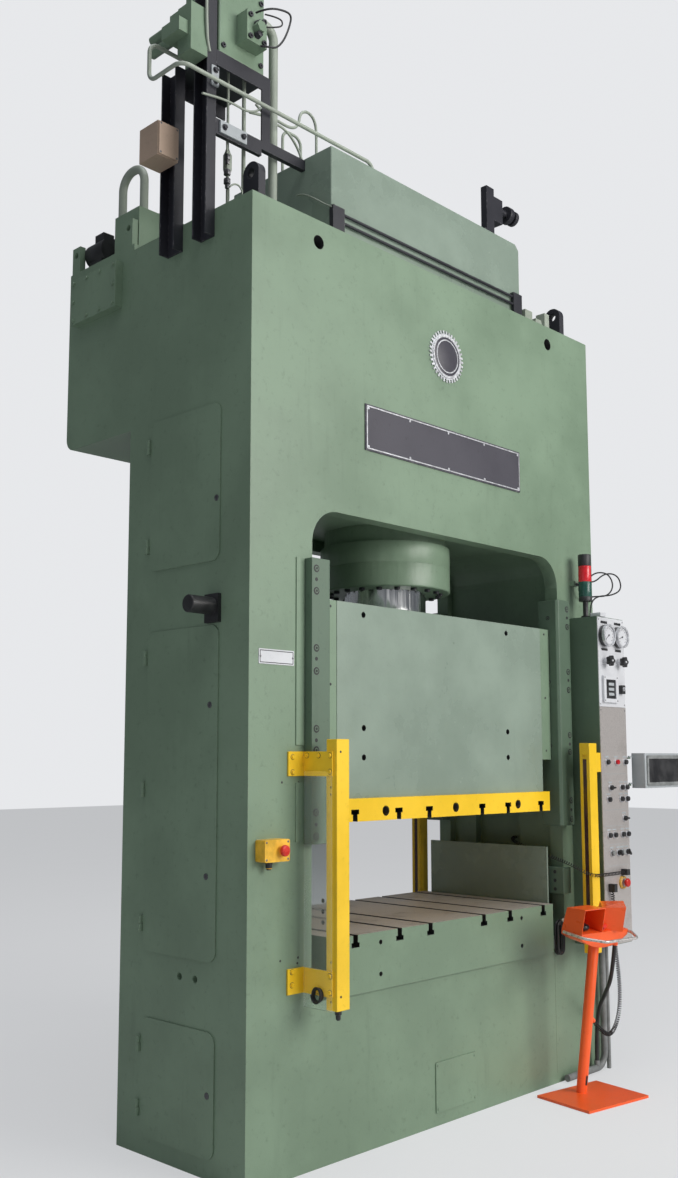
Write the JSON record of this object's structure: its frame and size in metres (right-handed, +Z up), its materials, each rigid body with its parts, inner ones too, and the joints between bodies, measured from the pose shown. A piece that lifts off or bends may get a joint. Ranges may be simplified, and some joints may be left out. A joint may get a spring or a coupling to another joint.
{
  "type": "hydraulic press",
  "caption": "Two-column hydraulic press with a T-slotted table and slide, hydraulic tower, oil tank, control cabinet, light-curtain posts and a two-hand stand",
  "frame": {"origin": "on the floor, under the middle of the press frame's 2.50 m by 0.81 m base", "axes": "+X to the operator's right along the front, +Y to the rear, +Z up; the front face is at y = -0.405"},
  "size_m": [3.179, 1.8137, 5.01],
  "materials": {
    "badge_metal": "cast aluminium",
    "beige_paint": "aged beige enamel",
    "black_paint": "satin black enamel",
    "black_plastic": "black moulded plastic",
    "chrome_piston": "ground and hard-chromed",
    "clear_plastic": "clear polycarbonate sheet",
    "cord_rubber": "black rubber sheath",
    "dark_steel": "oiled machined steel",
    "gauge_case": "dark steel gauge case",
    "green_lens": "dark green lens",
    "green_paint": "semi-gloss reseda green machine enamel, slightly worn",
    "grey_paint": "light grey enamel",
    "grey_plastic": "grey plastic conduit",
    "orange_paint": "bright orange-red enamel",
    "panel_aluminium": "brushed and anodised panel",
    "pipe_steel": "pale grey-green painted and bare steel pipe",
    "plate_enamel": "dark grey enamelled plate",
    "rail_steel": "bare bent steel bar",
    "red_lens": "red lens",
    "red_plastic": "red moulded plastic",
    "table_steel": "machined steel, oily and brownish on top",
    "white_enamel": "white enamelled panel",
    "yellow_paint": "glossy signal yellow enamel",
    "yellow_plastic": "yellow moulded plastic"
  },
  "bodies": {
    "press": {"badge": "badge_metal", "cable_coil": "cord_rubber", "column_guard": "green_paint", "control_cabinet": "green_paint", "control_stand": "orange_paint", "counter": "black_plastic", "crown_box": "green_paint", "crown_pipes": "pipe_steel", "curly_cords": "cord_rubber", "cylinder": "green_paint", "floor_conduit": "grey_plastic", "gauges": "gauge_case", "gibs_front": "green_paint", "gibs_rear": "green_paint", "gland_ring": "green_paint", "guard_rail": "rail_steel", "inspection_cover": "green_paint", "junction_box": "beige_paint", "lens_green": "green_lens", "lens_red": "red_lens", "lifting_lugs": "black_paint", "light_brackets": "yellow_paint", "light_posts": "yellow_paint", "lower_panel": "panel_aluminium", "name_plate": "plate_enamel", "oil_pipes": "pipe_steel", "press_frame": "green_paint", "pump_block": "green_paint", "pump_motor": "black_plastic", "rear_tank": "green_paint", "side_screens": "clear_plastic", "side_switch": "black_plastic", "signal_cable": "cord_rubber", "signal_tower": "black_plastic", "stand_head": "orange_paint", "stand_hose": "grey_plastic", "stop_box": "yellow_plastic", "table_plate": "table_steel", "tank_cover": "green_paint", "tower_platform": "black_paint", "tower_posts": "black_paint", "upper_panel": "white_enamel", "valve_bank": "green_paint", "valve_manifold": "green_paint", "valve_post": "black_paint"},
    "slide": {"slide_body": "green_paint", "slide_plate": "yellow_paint", "slide_shoes": "dark_steel", "piston": "chrome_piston"},
    "upper_door_leaf": {"upper_door": "green_paint"},
    "middle_door_leaf": {"middle_door": "green_paint"},
    "lower_door_leaf": {"lower_door": "green_paint"},
    "column_stop": {"stop_button": "red_plastic"},
    "panel_stop": {"panel_stop_button": "red_plastic"},
    "stand_stop": {"stand_stop_button": "red_plastic"},
    "left_palm": {"palm_button_left": "black_plastic"},
    "right_palm": {"palm_button_right": "black_plastic"},
    "left_valve": {"valve_knob_left": "black_plastic"},
    "right_valve": {"valve_knob_right": "black_plastic"},
    "operator_screen": {"screen_box": "grey_paint"}
  },
  "joints": [
    {"name": "slide_stroke", "type": "slide", "parent": "press", "child": "slide", "axis": [0, 0, 1], "range_m": [-0.4, 0.08]},
    {"name": "upper_door_hinge", "type": "hinge", "parent": "press", "child": "upper_door_leaf", "pos_m": [-1.2605, 0.2535, 2.73], "axis": [0, 0, -1], "range_deg": [0, 110]},
    {"name": "middle_door_hinge", "type": "hinge", "parent": "press", "child": "middle_door_leaf", "pos_m": [-1.2605, 0.2535, 1.4735], "axis": [0, 0, -1], "range_deg": [0, 110]},
    {"name": "lower_door_hinge", "type": "hinge", "parent": "press", "child": "lower_door_leaf", "pos_m": [-1.2605, 0.2535, 0.3105], "axis": [0, 0, -1], "range_deg": [0, 110]},
    {"name": "column_stop_press", "type": "slide", "parent": "press", "child": "column_stop", "axis": [0, 1, 0], "range_m": [0, 0.006], "stiffness_N_per_m": 300, "springref_m": -0.01},
    {"name": "panel_stop_press", "type": "slide", "parent": "press", "child": "panel_stop", "axis": [0, 1, 0], "range_m": [0, 0.006], "stiffness_N_per_m": 300, "springref_m": -0.01},
    {"name": "stand_stop_press", "type": "slide", "parent": "press", "child": "stand_stop", "axis": [0.022, 0.1392, -0.99], "range_m": [0, 0.006], "stiffness_N_per_m": 300, "springref_m": -0.01},
    {"name": "left_palm_press", "type": "slide", "parent": "press", "child": "left_palm", "axis": [0.022, 0.1392, -0.99], "range_m": [0, 0.006], "stiffness_N_per_m": 400, "springref_m": -0.01},
    {"name": "right_palm_press", "type": "slide", "parent": "press", "child": "right_palm", "axis": [0.022, 0.1392, -0.99], "range_m": [0, 0.006], "stiffness_N_per_m": 400, "springref_m": -0.01},
    {"name": "left_valve_turn", "type": "hinge", "parent": "press", "child": "left_valve", "pos_m": [1.063, -0.609, 2.105], "axis": [0, -1, 0], "range_deg": [0, 720]},
    {"name": "right_valve_turn", "type": "hinge", "parent": "press", "child": "right_valve", "pos_m": [1.197, -0.609, 2.105], "axis": [0, -1, 0], "range_deg": [0, 720]},
    {"name": "operator_screen_turn", "type": "hinge", "parent": "press", "child": "operator_screen", "pos_m": [1.28, -0.585, 1.5355], "axis": [0, 0, 1], "range_deg": [-60, 90]}
  ]
}
